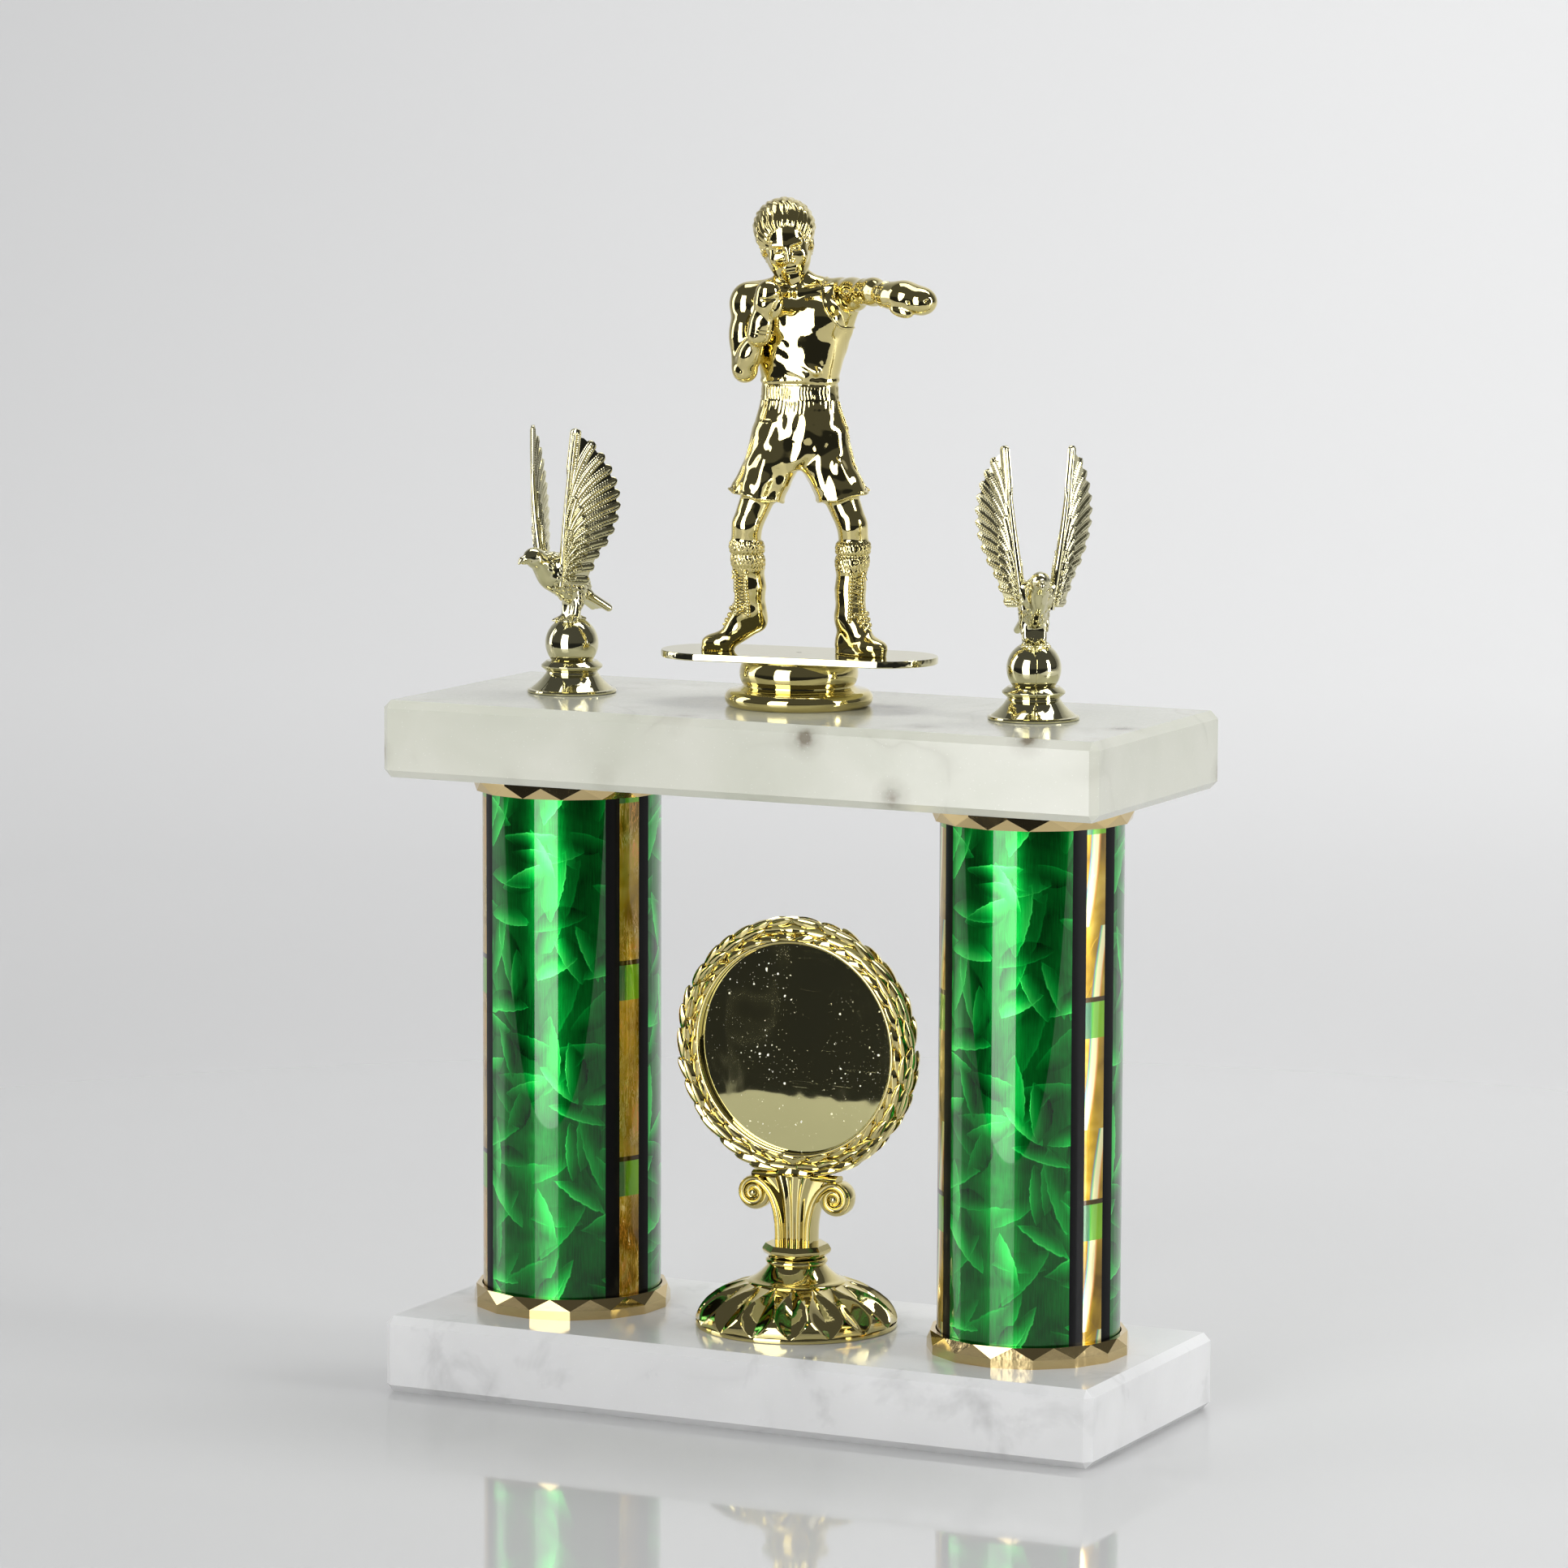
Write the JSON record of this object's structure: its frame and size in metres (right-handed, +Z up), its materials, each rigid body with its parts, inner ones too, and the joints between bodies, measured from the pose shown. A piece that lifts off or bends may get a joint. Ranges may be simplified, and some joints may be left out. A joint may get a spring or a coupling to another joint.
{
  "type": "two-column boxing trophy",
  "caption": "Award trophy: marble slabs joined by film-covered columns with faceted collars, a laurel medal holder between them, eagle trims and a boxer on top.",
  "frame": {"origin": "centre of the bottom slab's underside, on the surface it stands on", "axes": "+X along the slabs to the right-hand column, +Y to the back, +Z up"},
  "size_m": [0.1906, 0.0762, 0.2959],
  "materials": {
    "marble": "polished",
    "gold_collar": "mirror plated",
    "tube_card": "matte",
    "holographic_film": "gloss",
    "zinc_steel": "satin",
    "pale_gold": "mirror plated",
    "gold_plate": "mirror plated",
    "mirror_gold": "mirror"
  },
  "bodies": {
    "stand": {"bottom_slab": "marble", "top_slab": "marble", "left_bottom_collar": "gold_collar", "left_top_collar": "gold_collar", "right_bottom_collar": "gold_collar", "right_top_collar": "gold_collar", "left_column_tube": "tube_card", "right_column_tube": "tube_card", "left_column_film": "holographic_film", "right_column_film": "holographic_film", "threaded_rods": "zinc_steel", "rod_nuts": "zinc_steel", "rod_washers": "zinc_steel", "trim_bolts": "zinc_steel", "trim_washers": "zinc_steel"},
    "left_eagle": {"left_eagle_base": "pale_gold", "left_eagle_bird": "pale_gold"},
    "right_eagle": {"right_eagle_base": "pale_gold", "right_eagle_bird": "pale_gold"},
    "figure": {"figure_riser": "gold_plate", "figure_plate": "gold_plate", "boxer": "gold_plate"},
    "medal_holder": {"medal_base": "gold_plate", "medal_frame": "gold_plate", "medal_centre": "mirror_gold"}
  },
  "joints": [
    {"name": "left_eagle_turn", "type": "hinge", "parent": "stand", "child": "left_eagle", "pos_m": [-0.0624, 0, 0.1725], "axis": [0, 0, 1], "continuous": true},
    {"name": "right_eagle_turn", "type": "hinge", "parent": "stand", "child": "right_eagle", "pos_m": [0.0624, 0, 0.1725], "axis": [0, 0, 1], "continuous": true},
    {"name": "figure_turn", "type": "hinge", "parent": "stand", "child": "figure", "pos_m": [0, 0, 0.1725], "axis": [0, 0, 1], "continuous": true},
    {"name": "medal_turn", "type": "hinge", "parent": "stand", "child": "medal_holder", "pos_m": [0, 0, 0.01905], "axis": [0, 0, 1], "continuous": true}
  ]
}
